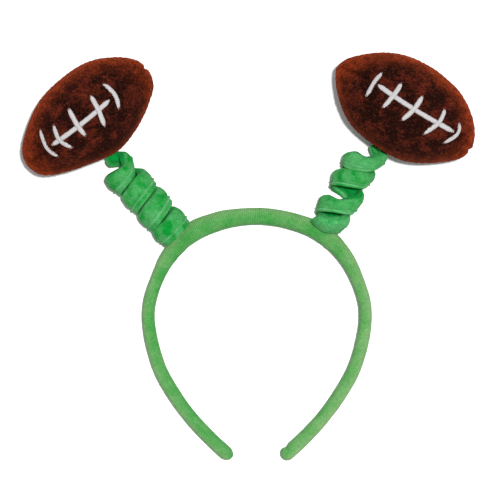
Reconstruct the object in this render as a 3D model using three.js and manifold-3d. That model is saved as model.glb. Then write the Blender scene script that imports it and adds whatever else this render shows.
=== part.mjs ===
// A head bopper: a padded, velour-covered headband with two fabric-sleeved coil springs, each
// carrying a stuffed football with raised white lacing on its front.
//
// Millimetres, +Z up. The bopper lies on its side on the plane z = 0, as it rests on a table.
// +Y runs from the band's tips towards its crown and +X to the wearer's left as seen from the front.
// The origin is the middle of the footprint.
import * as THREE from "three";
import { mergeVertices } from "three/addons/utils/BufferGeometryUtils.js";
import Module from "manifold-3d";

const wasm = await Module();
wasm.setup();

// Headband sizes
const BAND_INNER_HALF_WIDTH = 59.4; // middle of the head opening to the inner face, at its widest
const BAND_CROWN_RISE = 54.2; // from the widest level up to the crown's inner face
const BAND_TIP_DROP = 78.5; // from the widest level down to the tips
const BAND_TIP_HALF_GAP = 12; // middle of the opening to the inner face of a tip
const BAND_CROWN_THICKNESS = 9.8; // padding and cover, measured outwards from the head
const BAND_LEG_THICKNESS = 7.7;
const BAND_CROWN_DEPTH = 12; // front to back
const BAND_TIP_DEPTH = 9.5;
const BAND_TIP_ROUNDING = 4.2;
const BAND_SQUARENESS = 2.5; // 2 would be an oval section, more is boxier

// Spring sizes
const COIL_OUTER_DIAMETER = 22.4;
const SLEEVE_WIDTH = 14.2; // flattened fabric sleeve, measured along the coil's axis
const SLEEVE_THICKNESS = 5;
const LEFT_COIL_LENGTH = 60.2; // from the band's outer face to the ball
const RIGHT_COIL_LENGTH = 54.8;
const COIL_TOP_HEIGHT = 14.6; // height of the coil's axis where it meets the ball

// Ball sizes
const BALL_LENGTH = 89.5;
const BALL_WIDTH = 56;
const BALL_THICKNESS = 48; // front to back
const BALL_FLATTENING = 1.6; // how far the stuffing gives where the ball rests
const PANEL_SEAM_DEPTH = 0.8;
const PANEL_SEAM_FADE = 2; // how soon the seams deepen from the tips, where the ball gets thicker

// Lacing sizes
const STITCH_WIDTH = 3;
const STITCH_HEIGHT = 1.1;
const STITCH_TAPER = 0.3; // share of a stitch that narrows at each end
const STITCH_END = 0.25; // width and height left at its ends, as shares

const CLEARANCE = 0.3; // between neighbouring pieces

// How finely the surfaces are divided
const BAND_SIDES = 12;
const BAND_STEPS = 61; // odd, so that one facet straddles the crown's middle
const TIP_STEPS = 4;
const BALL_SIDES = 28;
const BALL_STEPS = 18;
const STEPS_PER_TURN = 18;
const STITCH_SIDES = 6;
const STITCH_STEPS = 12;

// The band's inner face. Crown rows: out is a share of the half width, up of the crown's rise.
const CROWN_ROWS = [
  { out: 0, up: 1 },
  { out: 0.522, up: 0.862 },
  { out: 0.797, up: 0.609 },
  { out: 0.965, up: 0.258 },
  { out: 1, up: 0 },
];

// Leg rows: inward is the share of the way from the half width to the tip's half gap, down of the tip's drop.
const LEG_ROWS = [
  { inward: 0.124, down: 0.338 },
  { inward: 0.325, down: 0.559 },
  { inward: 0.523, down: 0.718 },
  { inward: 0.776, down: 0.88 },
  { inward: 1, down: 1 },
];

// How the padding thins from the crown (fullness 1) to the legs (fullness 0). along is a share of
// half the band.
const PADDING_ROWS = [
  { along: 0, fullness: 1 },
  { along: 0.2, fullness: 0.95 },
  { along: 0.3, fullness: 0.6 },
  { along: 0.38, fullness: -0.05 },
  { along: 0.45, fullness: -0.15 },
  { along: 0.6, fullness: 0.05 },
  { along: 0.9, fullness: 0.15 },
  { along: 1, fullness: 0.25 },
];

// How the cover is drawn up round each spring's seat: fromSeat is measured along the band, towards
// the right tip.
const LEFT_TENTS = [
  { fromSeat: 0, rise: 1.1, reach: 11 },
  { fromSeat: 10, rise: 1.4, reach: 6.5 },
  { fromSeat: 22, rise: 1.3, reach: 10 },
];
const RIGHT_TENTS = [{ fromSeat: 0, rise: 1.1, reach: 11 }];

// The flattened sleeve's section: across runs from its lower edge (-1) to its upper edge (1) in half
// widths, out from the coil's axis in half thicknesses. The wire raises a ridge above a thin hem,
// which laps over the next turn's upper edge.
const SLEEVE_SECTION = [
  { across: 1, out: -0.95 },
  { across: 0.97, out: -0.35 },
  { across: 0.88, out: 0.25 },
  { across: 0.7, out: 0.68 },
  { across: 0.35, out: 0.96 },
  { across: -0.15, out: 0.98 },
  { across: -0.42, out: 0.76 },
  { across: -0.52, out: 1.04 },
  { across: -0.62, out: 0.7 },
  { across: -0.98, out: 0.6 },
  { across: -1, out: 0.2 },
  { across: -0.5, out: -0.1 },
  { across: -0.1, out: -0.8 },
  { across: 0.5, out: -1 },
  { across: 0.9, out: -1.3 },
];

// Rows along each coil, from the band to the ball: along is a share of its length, radius of the
// coil's radius and width of the sleeve's width. tilt, in degrees, tips the sleeve's lower edge
// outwards. Turn 0 is at the coil's left.
const LEFT_COIL_ROWS = [
  { turn: -0.3, along: 0.045, radius: 0.94, width: 0.5, tilt: 0 },
  { turn: 0, along: 0.075, radius: 0.93, width: 0.85, tilt: -4 },
  { turn: 0.25, along: 0.08, radius: 0.97, width: 0.9, tilt: 6 },
  { turn: 0.5, along: 0.112, radius: 1.03, width: 0.9, tilt: 2 },
  { turn: 0.75, along: 0.185, radius: 0.97, width: 1, tilt: 0 },
  { turn: 1, along: 0.266, radius: 0.93, width: 1, tilt: -4 },
  { turn: 1.25, along: 0.313, radius: 0.98, width: 0.98, tilt: 8 },
  { turn: 1.5, along: 0.367, radius: 1.04, width: 0.86, tilt: 2 },
  { turn: 1.75, along: 0.435, radius: 1, width: 1, tilt: 0 },
  { turn: 2, along: 0.505, radius: 0.96, width: 0.98, tilt: -4 },
  { turn: 2.25, along: 0.554, radius: 0.99, width: 0.98, tilt: 8 },
  { turn: 2.5, along: 0.596, radius: 1.02, width: 0.86, tilt: 2 },
  { turn: 2.75, along: 0.675, radius: 1, width: 1, tilt: 0 },
  { turn: 3, along: 0.748, radius: 1.02, width: 0.95, tilt: -6 },
  { turn: 3.25, along: 0.762, radius: 0.96, width: 0.74, tilt: 4 },
  { turn: 3.38, along: 0.8, radius: 0.8, width: 0.5, tilt: 0 },
  { turn: 3.5, along: 0.87, radius: 0.88, width: 0.5, tilt: 0 },
  { turn: 3.62, along: 0.9, radius: 0.76, width: 0.72, tilt: 0 },
  { turn: 3.72, along: 0.945, radius: 0.5, width: 0.72, tilt: 0 },
  { turn: 3.82, along: 0.99, radius: 0.15, width: 0.55, tilt: 0 },
];
const RIGHT_COIL_ROWS = [
  { turn: -0.1, along: -0.03, radius: 0.98, width: 0.15, tilt: -40 },
  { turn: 0, along: -0.02, radius: 0.98, width: 0.28, tilt: -45 },
  { turn: 0.12, along: 0.0, radius: 0.8, width: 0.55, tilt: -48 },
  { turn: 0.25, along: 0.015, radius: 0.66, width: 0.72, tilt: -46 },
  { turn: 0.38, along: 0.055, radius: 0.72, width: 0.78, tilt: -30 },
  { turn: 0.5, along: 0.1, radius: 0.84, width: 0.82, tilt: -6 },
  { turn: 0.75, along: 0.125, radius: 0.93, width: 0.85, tilt: 0 },
  { turn: 1, along: 0.18, radius: 1.07, width: 0.82, tilt: -8 },
  { turn: 1.25, along: 0.255, radius: 0.97, width: 0.62, tilt: 6 },
  { turn: 1.5, along: 0.355, radius: 0.96, width: 0.8, tilt: -6 },
  { turn: 1.75, along: 0.455, radius: 0.93, width: 0.92, tilt: 0 },
  { turn: 1.88, along: 0.473, radius: 0.98, width: 0.94, tilt: 4 },
  { turn: 2, along: 0.49, radius: 1.08, width: 0.76, tilt: -8 },
  { turn: 2.12, along: 0.54, radius: 1, width: 0.8, tilt: -2 },
  { turn: 2.25, along: 0.585, radius: 0.93, width: 0.76, tilt: 4 },
  { turn: 2.5, along: 0.645, radius: 0.9, width: 0.68, tilt: -6 },
  { turn: 2.75, along: 0.68, radius: 0.95, width: 0.92, tilt: 0 },
  { turn: 3, along: 0.72, radius: 1.08, width: 0.62, tilt: -10 },
  { turn: 3.12, along: 0.74, radius: 1.02, width: 0.78, tilt: -4 },
  { turn: 3.25, along: 0.765, radius: 1, width: 0.66, tilt: 2 },
  { turn: 3.38, along: 0.828, radius: 0.98, width: 0.54, tilt: 0 },
  { turn: 3.5, along: 0.91, radius: 1.03, width: 0.5, tilt: 0 },
  { turn: 3.65, along: 0.932, radius: 0.72, width: 0.5, tilt: 0 },
  { turn: 3.76, along: 0.975, radius: 0.42, width: 0.48, tilt: 0 },
];

// The balls' outlines seen from the front: at is a share of the half length from the lower or outer
// tip, up and down are shares of the half width on either side of the long axis.
const LEFT_BALL_ROWS = [
  { at: -1, up: 0, down: 0 },
  { at: -0.95, up: 0.27, down: 0.34 },
  { at: -0.8, up: 0.51, down: 0.54 },
  { at: -0.55, up: 0.76, down: 0.73 },
  { at: -0.3, up: 0.91, down: 0.86 },
  { at: 0, up: 0.97, down: 1 },
  { at: 0.3, up: 0.94, down: 0.93 },
  { at: 0.55, up: 0.82, down: 0.79 },
  { at: 0.8, up: 0.54, down: 0.57 },
  { at: 0.95, up: 0.28, down: 0.35 },
  { at: 1, up: 0, down: 0 },
];
const RIGHT_BALL_ROWS = [
  { at: -1, up: 0, down: 0 },
  { at: -0.95, up: 0.27, down: 0.2 },
  { at: -0.8, up: 0.51, down: 0.51 },
  { at: -0.55, up: 0.8, down: 0.83 },
  { at: -0.3, up: 0.96, down: 0.95 },
  { at: 0, up: 1.01, down: 1.01 },
  { at: 0.3, up: 0.95, down: 0.98 },
  { at: 0.55, up: 0.84, down: 0.81 },
  { at: 0.8, up: 0.56, down: 0.54 },
  { at: 0.95, up: 0.24, down: 0.31 },
  { at: 1, up: 0, down: 0 },
];

// Lacing: each stitch runs through three places on the ball's front. at is a share of the half
// length, across of the half width; the names say which end or the middle.
const LEFT_SPINE = {
  startAt: -0.6,
  startAcross: -0.02,
  midAt: -0.1,
  midAcross: -0.075,
  endAt: 0.37,
  endAcross: -0.06,
};
const LEFT_CROSSES = [
  { startAt: -0.565, startAcross: 0.4, midAt: -0.645, midAcross: 0.03, endAt: -0.61, endAcross: -0.3 },
  { startAt: -0.39, startAcross: 0.3, midAt: -0.455, midAcross: -0.03, endAt: -0.395, endAcross: -0.35 },
  { startAt: -0.115, startAcross: 0.355, midAt: -0.16, midAcross: 0, endAt: -0.173, endAcross: -0.34 },
  { startAt: 0.207, startAcross: 0.27, midAt: 0.165, midAcross: -0.06, endAt: 0.09, endAcross: -0.44 },
  { startAt: 0.418, startAcross: 0.3, midAt: 0.45, midAcross: -0.02, endAt: 0.37, endAcross: -0.345 },
];
const RIGHT_SPINE = {
  startAt: -0.455,
  startAcross: 0.11,
  midAt: 0.1,
  midAcross: 0.05,
  endAt: 0.7,
  endAcross: 0.07,
};
const RIGHT_CROSSES = [
  { startAt: -0.475, startAcross: 0.375, midAt: -0.487, midAcross: 0.097, endAt: -0.498, endAcross: -0.24 },
  { startAt: -0.202, startAcross: 0.385, midAt: -0.198, midAcross: 0.093, endAt: -0.25, endAcross: -0.268 },
  { startAt: 0.115, startAcross: 0.39, midAt: 0.104, midAcross: 0.05, endAt: 0.036, endAcross: -0.293 },
  { startAt: 0.433, startAcross: 0.38, midAt: 0.455, midAcross: 0.1, endAt: 0.362, endAcross: -0.314 },
  { startAt: 0.68, startAcross: 0.3, midAt: 0.722, midAcross: 0.05, endAt: 0.635, endAcross: -0.254 },
];

// Each arm: a spring sewn to the band and the ball on its end. seat is the share of half the band
// where the spring stands, lean its angle from the band's outward normal (positive turns it
// anticlockwise), ballTurn the angle of the ball's long axis, ballSeat where along it the spring ends,
// ballSize its size as a share of the balls' sizes, tents where its spring pulls the cover up.
const ARMS = [
  {
    name: "left",
    side: -1,
    seat: 0.235,
    lean: 0,
    tents: LEFT_TENTS,
    length: LEFT_COIL_LENGTH,
    coilRows: LEFT_COIL_ROWS,
    ballTurn: 39.5,
    ballSeat: -0.117,
    ballSize: 1,
    ballRows: LEFT_BALL_ROWS,
    spine: LEFT_SPINE,
    crosses: LEFT_CROSSES,
  },
  {
    name: "right",
    side: 1,
    seat: 0.202,
    lean: 4.6,
    tents: RIGHT_TENTS,
    length: RIGHT_COIL_LENGTH,
    coilRows: RIGHT_COIL_ROWS,
    ballTurn: -30.5,
    ballSeat: -0.11,
    ballSize: 1.02,
    ballRows: RIGHT_BALL_ROWS,
    spine: RIGHT_SPINE,
    crosses: RIGHT_CROSSES,
  },
];

const UP = new THREE.Vector3(0, 0, 1);

// A column of a table at a place between its rows, on a smooth curve through them. scale can spread
// the rows' places, so that a curve that ends steeply stays round there.
function tableValue(rows, placeKey, valueKey, place, scale = (x) => x) {
  const x = scale(place);
  const last = rows.length - 2;
  let i = 0;
  while (i < last && x > scale(rows[i + 1][placeKey])) i++;
  const around = [i - 1, i, i + 1, i + 2].map((k) => THREE.MathUtils.clamp(k, 0, rows.length - 1));
  const [x0, x1, x2, x3] = around.map((k) => scale(rows[k][placeKey]));
  const [y0, y1, y2, y3] = around.map((k) => rows[k][valueKey]);
  const slope1 = (y2 - y0) / (x2 - x0);
  const slope2 = (y3 - y1) / (x3 - x1);
  const span = x2 - x1;
  const t = THREE.MathUtils.clamp((x - x1) / span, 0, 1);
  return (
    y1 * (1 + 2 * t) * (1 - t) ** 2 +
    slope1 * span * t * (1 - t) ** 2 +
    y2 * t * t * (3 - 2 * t) +
    slope2 * span * t * t * (t - 1)
  );
}

// A closed body through rings of equally many points, each end closed by a fan from its middle.
function loft(rings) {
  const sides = rings[0].length;
  const middles = [rings[0], rings.at(-1)].map((ring) =>
    ring.reduce((sum, p) => sum.add(p), new THREE.Vector3()).divideScalar(sides),
  );
  const points = [...rings.flat(), ...middles];
  const [firstMiddle, lastMiddle] = [points.length - 2, points.length - 1];
  const lastRing = (rings.length - 1) * sides;
  const faces = [];
  for (let j = 0; j < sides; j++) {
    const k = (j + 1) % sides;
    for (let i = 0; i < rings.length - 1; i++) {
      const [a, b, c, d] = [i * sides + j, i * sides + k, (i + 1) * sides + j, (i + 1) * sides + k];
      faces.push(a, b, d, a, d, c);
    }
    faces.push(firstMiddle, k, j);
    faces.push(lastMiddle, lastRing + j, lastRing + k);
  }
  const geometry = new THREE.BufferGeometry();
  geometry.setAttribute("position", new THREE.Float32BufferAttribute(points.flatMap((p) => p.toArray()), 3));
  geometry.setIndex(faces);
  return geometry;
}

function solidOf(geometry) {
  const merged = mergeVertices(geometry, 1e-4);
  const vertProperties = new Float32Array(merged.attributes.position.array);
  const triVerts = new Uint32Array(merged.index.array);
  return new wasm.Manifold(new wasm.Mesh({ numProp: 3, vertProperties, triVerts }));
}

function geometryOf(solid) {
  const { vertProperties, triVerts } = solid.getMesh();
  const geometry = new THREE.BufferGeometry();
  geometry.setAttribute("position", new THREE.BufferAttribute(vertProperties, 3));
  geometry.setIndex(new THREE.BufferAttribute(triVerts, 1));
  return geometry;
}

function largestBody(solid) {
  return solid.decompose().reduce((a, b) => (a.volume() > b.volume() ? a : b));
}

// Headband

function bandInnerCurve() {
  const half = [
    ...CROWN_ROWS.map(({ out, up }) => [out * BAND_INNER_HALF_WIDTH, up * BAND_CROWN_RISE]),
    ...LEG_ROWS.map(({ inward, down }) => [
      THREE.MathUtils.lerp(BAND_INNER_HALF_WIDTH, BAND_TIP_HALF_GAP, inward),
      -down * BAND_TIP_DROP,
    ]),
  ];
  const right = half.map(([x, y]) => new THREE.Vector3(x, y, 0));
  const left = half.slice(1).map(([x, y]) => new THREE.Vector3(-x, y, 0));
  const curve = new THREE.CatmullRomCurve3([...left.reverse(), ...right], false, "centripetal");
  curve.arcLengthDivisions = 600;
  return curve;
}

const bandCurve = bandInnerCurve();
const bandLength = bandCurve.getLength();

// Where along the whole band (0 at the left tip, 1 at the right) an arm's spring stands.
function seatPlace(arm) {
  return 0.5 + (arm.side * arm.seat) / 2;
}

// The band at a place along it: its inner face's middle, the direction away from the head, and its sizes.
function bandAt(place) {
  const inner = bandCurve.getPointAt(place);
  const tangent = bandCurve.getTangentAt(place);
  const outward = new THREE.Vector3(-tangent.y, tangent.x, 0);
  const along = Math.abs(2 * place - 1);
  const fullness = tableValue(PADDING_ROWS, "along", "fullness", along);
  const rises = ARMS.flatMap((arm) => {
    const distance = (place - seatPlace(arm)) * bandLength;
    return arm.tents.map((tent) => tent.rise * Math.exp(-(((distance - tent.fromSeat) / tent.reach) ** 2)));
  });
  const rise = rises.reduce((sum, part) => sum + part, 0);
  const thickness = THREE.MathUtils.lerp(BAND_LEG_THICKNESS, BAND_CROWN_THICKNESS, fullness) + rise;
  const depth = THREE.MathUtils.lerp(BAND_CROWN_DEPTH, BAND_TIP_DEPTH, along);
  return { inner, outward, thickness, depth };
}

// A rounded box section with flats on its four sides, spanning -1 to 1 both ways.
const BAND_SECTION = (() => {
  const roundness = 2 / BAND_SQUARENESS;
  const halfStep = Math.PI / BAND_SIDES;
  const flat = Math.cos(halfStep) ** roundness;
  const bulge = (x) => (Math.sign(x) * Math.abs(x) ** roundness) / flat;
  return Array.from({ length: BAND_SIDES }, (_, i) => {
    const angle = (2 * i + 1) * halfStep;
    return { out: bulge(Math.cos(angle)), up: bulge(Math.sin(angle)) };
  });
})();

function bandGeometry(grow = 0) {
  const bluntness = 0.35; // where the first ring stands within its step, which leaves a small flat end
  const rounding = Array.from({ length: TIP_STEPS }, (_, i) => {
    const angle = ((i + bluntness) / TIP_STEPS) * (Math.PI / 2);
    return { distance: BAND_TIP_ROUNDING * (1 - Math.cos(angle)), share: Math.sin(angle) };
  });
  const free = bandLength - 2 * BAND_TIP_ROUNDING;
  const straight = Array.from({ length: BAND_STEPS + 1 }, (_, i) => ({
    distance: BAND_TIP_ROUNDING + (free * i) / BAND_STEPS,
    share: 1,
  }));
  const farEnd = rounding.map(({ distance, share }) => ({ distance: bandLength - distance, share }));
  const rings = [...rounding, ...straight, ...farEnd.reverse()].map(({ distance, share }) => {
    const { inner, outward, thickness, depth } = bandAt(distance / bandLength);
    return BAND_SECTION.map(({ out, up }) =>
      inner
        .clone()
        .addScaledVector(outward, thickness / 2 + out * ((thickness / 2) * share + grow))
        .addScaledVector(UP, depth / 2 + up * ((depth / 2) * share + grow)),
    );
  });
  return loft(rings);
}

// Springs

const COIL_RADIUS = (COIL_OUTER_DIAMETER - SLEEVE_THICKNESS) / 2;
const COIL_BASE_HEIGHT = COIL_OUTER_DIAMETER / 2 + CLEARANCE;

// The coil's own directions and where it starts: along its axis, to its right, and towards its front.
function coilFrame(arm) {
  const { inner, outward, thickness } = bandAt(seatPlace(arm));
  const base = inner.clone().addScaledVector(outward, thickness).setZ(COIL_BASE_HEIGHT);
  const heading = outward.clone().applyAxisAngle(UP, THREE.MathUtils.degToRad(arm.lean));
  const top = base.clone().addScaledVector(heading, arm.length).setZ(COIL_TOP_HEIGHT);
  const axis = top.clone().sub(base);
  const right = new THREE.Vector3(heading.y, -heading.x, 0);
  const front = right.clone().cross(axis).normalize();
  return { base, top, axis, right, front };
}

function coilPoint(arm, frame, turn) {
  const angle = Math.PI * (1 - 2 * turn);
  const radial = frame.right
    .clone()
    .multiplyScalar(Math.cos(angle))
    .addScaledVector(frame.front, Math.sin(angle));
  const radius = COIL_RADIUS * tableValue(arm.coilRows, "turn", "radius", turn);
  const along = tableValue(arm.coilRows, "turn", "along", turn);
  const point = frame.base.clone().addScaledVector(frame.axis, along).addScaledVector(radial, radius);
  return { point, radial };
}

function coilGeometry(arm) {
  const frame = coilFrame(arm);
  const [firstTurn, lastTurn] = [arm.coilRows[0].turn, arm.coilRows.at(-1).turn];
  const steps = Math.round((lastTurn - firstTurn) * STEPS_PER_TURN);
  const rings = Array.from({ length: steps + 1 }, (_, i) => {
    const turn = THREE.MathUtils.lerp(firstTurn, lastTurn, i / steps);
    const { point, radial } = coilPoint(arm, frame, turn);
    const nudge = 0.01;
    const before = coilPoint(arm, frame, turn - nudge).point;
    const tangent = coilPoint(arm, frame, turn + nudge).point.sub(before).normalize();
    const tilt = THREE.MathUtils.degToRad(tableValue(arm.coilRows, "turn", "tilt", turn));
    const across = radial.clone().cross(tangent).normalize().applyAxisAngle(tangent, -tilt);
    const out = tangent.clone().cross(across);
    const halfWidth = (SLEEVE_WIDTH / 2) * tableValue(arm.coilRows, "turn", "width", turn);
    return SLEEVE_SECTION.map((row) =>
      point
        .clone()
        .addScaledVector(across, row.across * halfWidth)
        .addScaledVector(out, (row.out * SLEEVE_THICKNESS) / 2),
    );
  });
  return loft(rings);
}

// Balls

// Spreads places along a ball evenly round its ends.
const roundEnds = (at) => Math.acos(-THREE.MathUtils.clamp(at, -1, 1));

const ballHalfLength = (arm) => (arm.ballSize * BALL_LENGTH) / 2;
const ballHalfWidth = (arm) => (arm.ballSize * BALL_WIDTH) / 2;
const ballHalfThickness = (arm) => (arm.ballSize * BALL_THICKNESS) / 2;

function ballShares(arm, at) {
  const up = tableValue(arm.ballRows, "at", "up", at, roundEnds);
  const down = tableValue(arm.ballRows, "at", "down", at, roundEnds);
  return { up, down, thick: (up + down) / 2 };
}

// The ball's middle and long and cross directions. It stands where the spring's end meets its surface.
function ballFrame(arm) {
  const long = new THREE.Vector3(1, 0, 0).applyAxisAngle(UP, THREE.MathUtils.degToRad(arm.ballTurn));
  const cross = UP.clone().cross(long);
  const height = ballHalfThickness(arm) - BALL_FLATTENING;
  const { down, thick } = ballShares(arm, arm.ballSeat);
  const sine = (height - COIL_TOP_HEIGHT) / (thick * ballHalfThickness(arm));
  const reach = down * ballHalfWidth(arm) * Math.sqrt(1 - sine ** 2);
  const middle = coilFrame(arm)
    .top.clone()
    .addScaledVector(long, -arm.ballSeat * ballHalfLength(arm))
    .addScaledVector(cross, reach)
    .setZ(height);
  return { middle, long, cross };
}

function ballGeometry(arm, grow = 0) {
  const { middle, long, cross } = ballFrame(arm);
  const seamEvery = BALL_SIDES / 4;
  const rings = Array.from({ length: BALL_STEPS - 1 }, (_, i) => {
    const at = -Math.cos((Math.PI * (i + 1)) / BALL_STEPS);
    const { up, down, thick } = ballShares(arm, at);
    const dip = PANEL_SEAM_DEPTH * Math.min(1, thick * PANEL_SEAM_FADE);
    return Array.from({ length: BALL_SIDES }, (_, j) => {
      const angle = (2 * Math.PI * j) / BALL_SIDES;
      const inset = (j % seamEvery === 0 ? -dip : 0) + grow;
      const halfWidth = (Math.cos(angle) > 0 ? up : down) * ballHalfWidth(arm) + inset;
      const point = middle
        .clone()
        .addScaledVector(long, at * (ballHalfLength(arm) + grow))
        .addScaledVector(cross, halfWidth * Math.cos(angle))
        .addScaledVector(UP, (thick * ballHalfThickness(arm) + inset) * Math.sin(angle));
      return point.setZ(Math.max(point.z, -grow));
    });
  });
  const ends = [-1, 1].map((end) => middle.clone().addScaledVector(long, end * (ballHalfLength(arm) + grow)));
  const geometry = loft(rings);
  const position = geometry.attributes.position;
  ends.forEach((end, k) => position.setXYZ(position.count - 2 + k, ...end.toArray()));
  return geometry;
}

// Lacing

// A place on the front of the ball, and the direction straight out of it.
function ballFrontPoint(arm, at, across) {
  const { middle, long, cross } = ballFrame(arm);
  const pointAt = (a, c) => {
    const { up, down, thick } = ballShares(arm, a);
    const height = thick * ballHalfThickness(arm) * Math.sqrt(1 - (c / (c > 0 ? up : down)) ** 2);
    return middle
      .clone()
      .addScaledVector(long, a * ballHalfLength(arm))
      .addScaledVector(cross, c * ballHalfWidth(arm))
      .addScaledVector(UP, height);
  };
  const nudge = 0.01;
  const alongEdge = pointAt(at + nudge, across).sub(pointAt(at - nudge, across));
  const acrossEdge = pointAt(at, across + nudge).sub(pointAt(at, across - nudge));
  return { point: pointAt(at, across), normal: alongEdge.cross(acrossEdge).normalize() };
}

// A stitch's own line on the ball, a smooth curve through its start, middle and end.
function stitchPlace(stitch, t) {
  const through = (start, mid, end) => {
    const bend = 2 * mid - (start + end) / 2;
    return start * (1 - t) ** 2 + 2 * bend * t * (1 - t) + end * t * t;
  };
  return [
    through(stitch.startAt, stitch.midAt, stitch.endAt),
    through(stitch.startAcross, stitch.midAcross, stitch.endAcross),
  ];
}

// A stitch that crosses another one is lifted over it, from just beyond the other one's edge.
function stitchGeometry(arm, stitch, under = null) {
  const underSteps = 3 * STITCH_STEPS;
  const underPoint = (t) => ballFrontPoint(arm, ...stitchPlace(under, t)).point;
  const shares = Array.from({ length: underSteps + 1 }, (_, i) => i / underSteps);
  const underPoints = under ? shares.map(underPoint) : [];
  const [liftedWithin, restsBeyond] = [0.85 * STITCH_WIDTH, 1.6 * STITCH_WIDTH];
  const spots = Array.from({ length: STITCH_STEPS + 1 }, (_, i) => {
    const t = i / STITCH_STEPS;
    const spot = ballFrontPoint(arm, ...stitchPlace(stitch, t));
    const taper = Math.max(STITCH_END, Math.sqrt(Math.min(1, Math.min(t, 1 - t) / STITCH_TAPER)));
    const apart = Math.min(Infinity, ...underPoints.map((p) => p.distanceTo(spot.point)));
    const over = 1 - THREE.MathUtils.smoothstep(apart, liftedWithin, restsBeyond);
    return { ...spot, taper, base: CLEARANCE + over * (STITCH_HEIGHT + CLEARANCE) };
  });
  const rings = spots.map(({ point, normal, taper, base }, i) => {
    const before = spots[Math.max(i - 1, 0)].point;
    const after = spots[Math.min(i + 1, STITCH_STEPS)].point;
    const tangent = after.clone().sub(before).normalize();
    const side = tangent.clone().cross(normal).normalize();
    return Array.from({ length: STITCH_SIDES }, (_, j) => {
      const angle = (Math.PI * j) / (STITCH_SIDES - 1);
      return point
        .clone()
        .addScaledVector(side, -((STITCH_WIDTH * taper) / 2) * Math.cos(angle))
        .addScaledVector(normal, base + STITCH_HEIGHT * taper * Math.sin(angle));
    });
  });
  return loft(rings);
}

// Materials

const greenVelour = new THREE.MeshStandardMaterial({ color: 0x46a552, roughness: 0.95, metalness: 0 });
const springVelour = new THREE.MeshStandardMaterial({ color: 0x2fa34c, roughness: 0.95, metalness: 0 });
const brownPlush = new THREE.MeshStandardMaterial({ color: 0x5a2413, roughness: 1, metalness: 0 });
const whiteThread = new THREE.MeshStandardMaterial({ color: 0xe6e6e4, roughness: 0.6, metalness: 0 });

function named(name, geometry, material) {
  const mesh = new THREE.Mesh(geometry, material);
  mesh.name = name;
  return mesh;
}

function buildBopper() {
  const lying = new THREE.Group();
  lying.add(named("headband", bandGeometry(), greenVelour));
  const bandWithClearance = solidOf(bandGeometry(CLEARANCE));
  for (const arm of ARMS) {
    const ballWithClearance = solidOf(ballGeometry(arm, CLEARANCE));
    const coil = solidOf(coilGeometry(arm)).subtract(bandWithClearance).subtract(ballWithClearance);
    lying.add(named(`${arm.name}_spring`, geometryOf(largestBody(coil)), springVelour));
    lying.add(named(`${arm.name}_ball`, ballGeometry(arm), brownPlush));
    lying.add(named(`${arm.name}_lace_spine`, stitchGeometry(arm, arm.spine), whiteThread));
    arm.crosses.forEach((cross, i) => {
      lying.add(named(`${arm.name}_lace_cross_${i + 1}`, stitchGeometry(arm, cross, arm.spine), whiteThread));
    });
  }
  const box = new THREE.Box3().setFromObject(lying);
  lying.position.set(-(box.min.x + box.max.x) / 2, -(box.min.y + box.max.y) / 2, 0);
  const bopper = new THREE.Group();
  bopper.add(lying);
  return bopper;
}

const bopper = buildBopper();
export default bopper;
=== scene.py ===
"""The looks of a head bopper: a velour headband, two sleeved coil springs and two plush footballs.

Metres, in the frame of the CAD part. The bopper lies on z = 0, its front up and its crown towards +Y.
"""

import math
from collections import namedtuple

import bmesh
import bpy
import numpy as np
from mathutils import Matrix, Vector, noise
from mathutils.bvhtree import BVHTree


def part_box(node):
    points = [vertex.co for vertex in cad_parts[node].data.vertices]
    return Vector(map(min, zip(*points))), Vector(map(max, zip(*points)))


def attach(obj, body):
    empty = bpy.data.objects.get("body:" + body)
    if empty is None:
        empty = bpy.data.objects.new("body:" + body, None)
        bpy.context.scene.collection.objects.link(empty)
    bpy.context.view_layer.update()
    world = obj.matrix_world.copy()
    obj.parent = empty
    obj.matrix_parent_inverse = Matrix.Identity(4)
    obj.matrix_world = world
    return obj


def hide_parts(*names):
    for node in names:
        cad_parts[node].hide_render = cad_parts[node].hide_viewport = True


MM = 0.001

# Headband sizes
BAND_INNER_HALF_WIDTH = 59.4 * MM
BAND_CROWN_RISE = 54.2 * MM
BAND_TIP_DROP = 78.5 * MM
BAND_TIP_HALF_GAP = 12 * MM
BAND_CROWN_THICKNESS = 9.8 * MM
BAND_LEG_THICKNESS = 7.7 * MM
BAND_CROWN_DEPTH = 12 * MM
BAND_TIP_DEPTH = 9.5 * MM
BAND_TIP_ROUNDING = 4.2 * MM
BAND_SQUARENESS = 2.5
BAND_NOTCH_DEPTH = 0.75 * MM
BAND_NOTCH_FROM_TIP = 6.2 * MM
BAND_NOTCH_REACH = 1.6 * MM
SEAT_FOLD_HEIGHT = 0.35 * MM
SEAT_FOLD_REACH = 10 * MM
RIB_PITCH = 0.95 * MM

# Spring sizes
COIL_OUTER_DIAMETER = 22.4 * MM
SLEEVE_WIDTH = 14.2 * MM
SLEEVE_THICKNESS = 5 * MM
LEFT_COIL_LENGTH = 60.2 * MM
RIGHT_COIL_LENGTH = 54.8 * MM
COIL_TOP_HEIGHT = 14.6 * MM
SLEEVE_CLOSING = 0.09  # the share of a turn over which the sleeve closes at its ends
SEWN_DEPTH = 0.9 * MM  # how deep the sleeve's ends still go inside the band and the ball
PUFF_HEIGHT = 0.6 * MM
PUFF_SIZE = 7 * MM
WRINKLE_HEIGHT = 0.2 * MM
WRINKLE_SIZE = 2.4 * MM
FOOT_RIDGE_SINKING = 0.7 * MM
FOOT_PLEAT_HEIGHT = 0.16 * MM
FOOT_PLEAT_PITCH = 0.24  # as a share of half the sleeve's width

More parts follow.
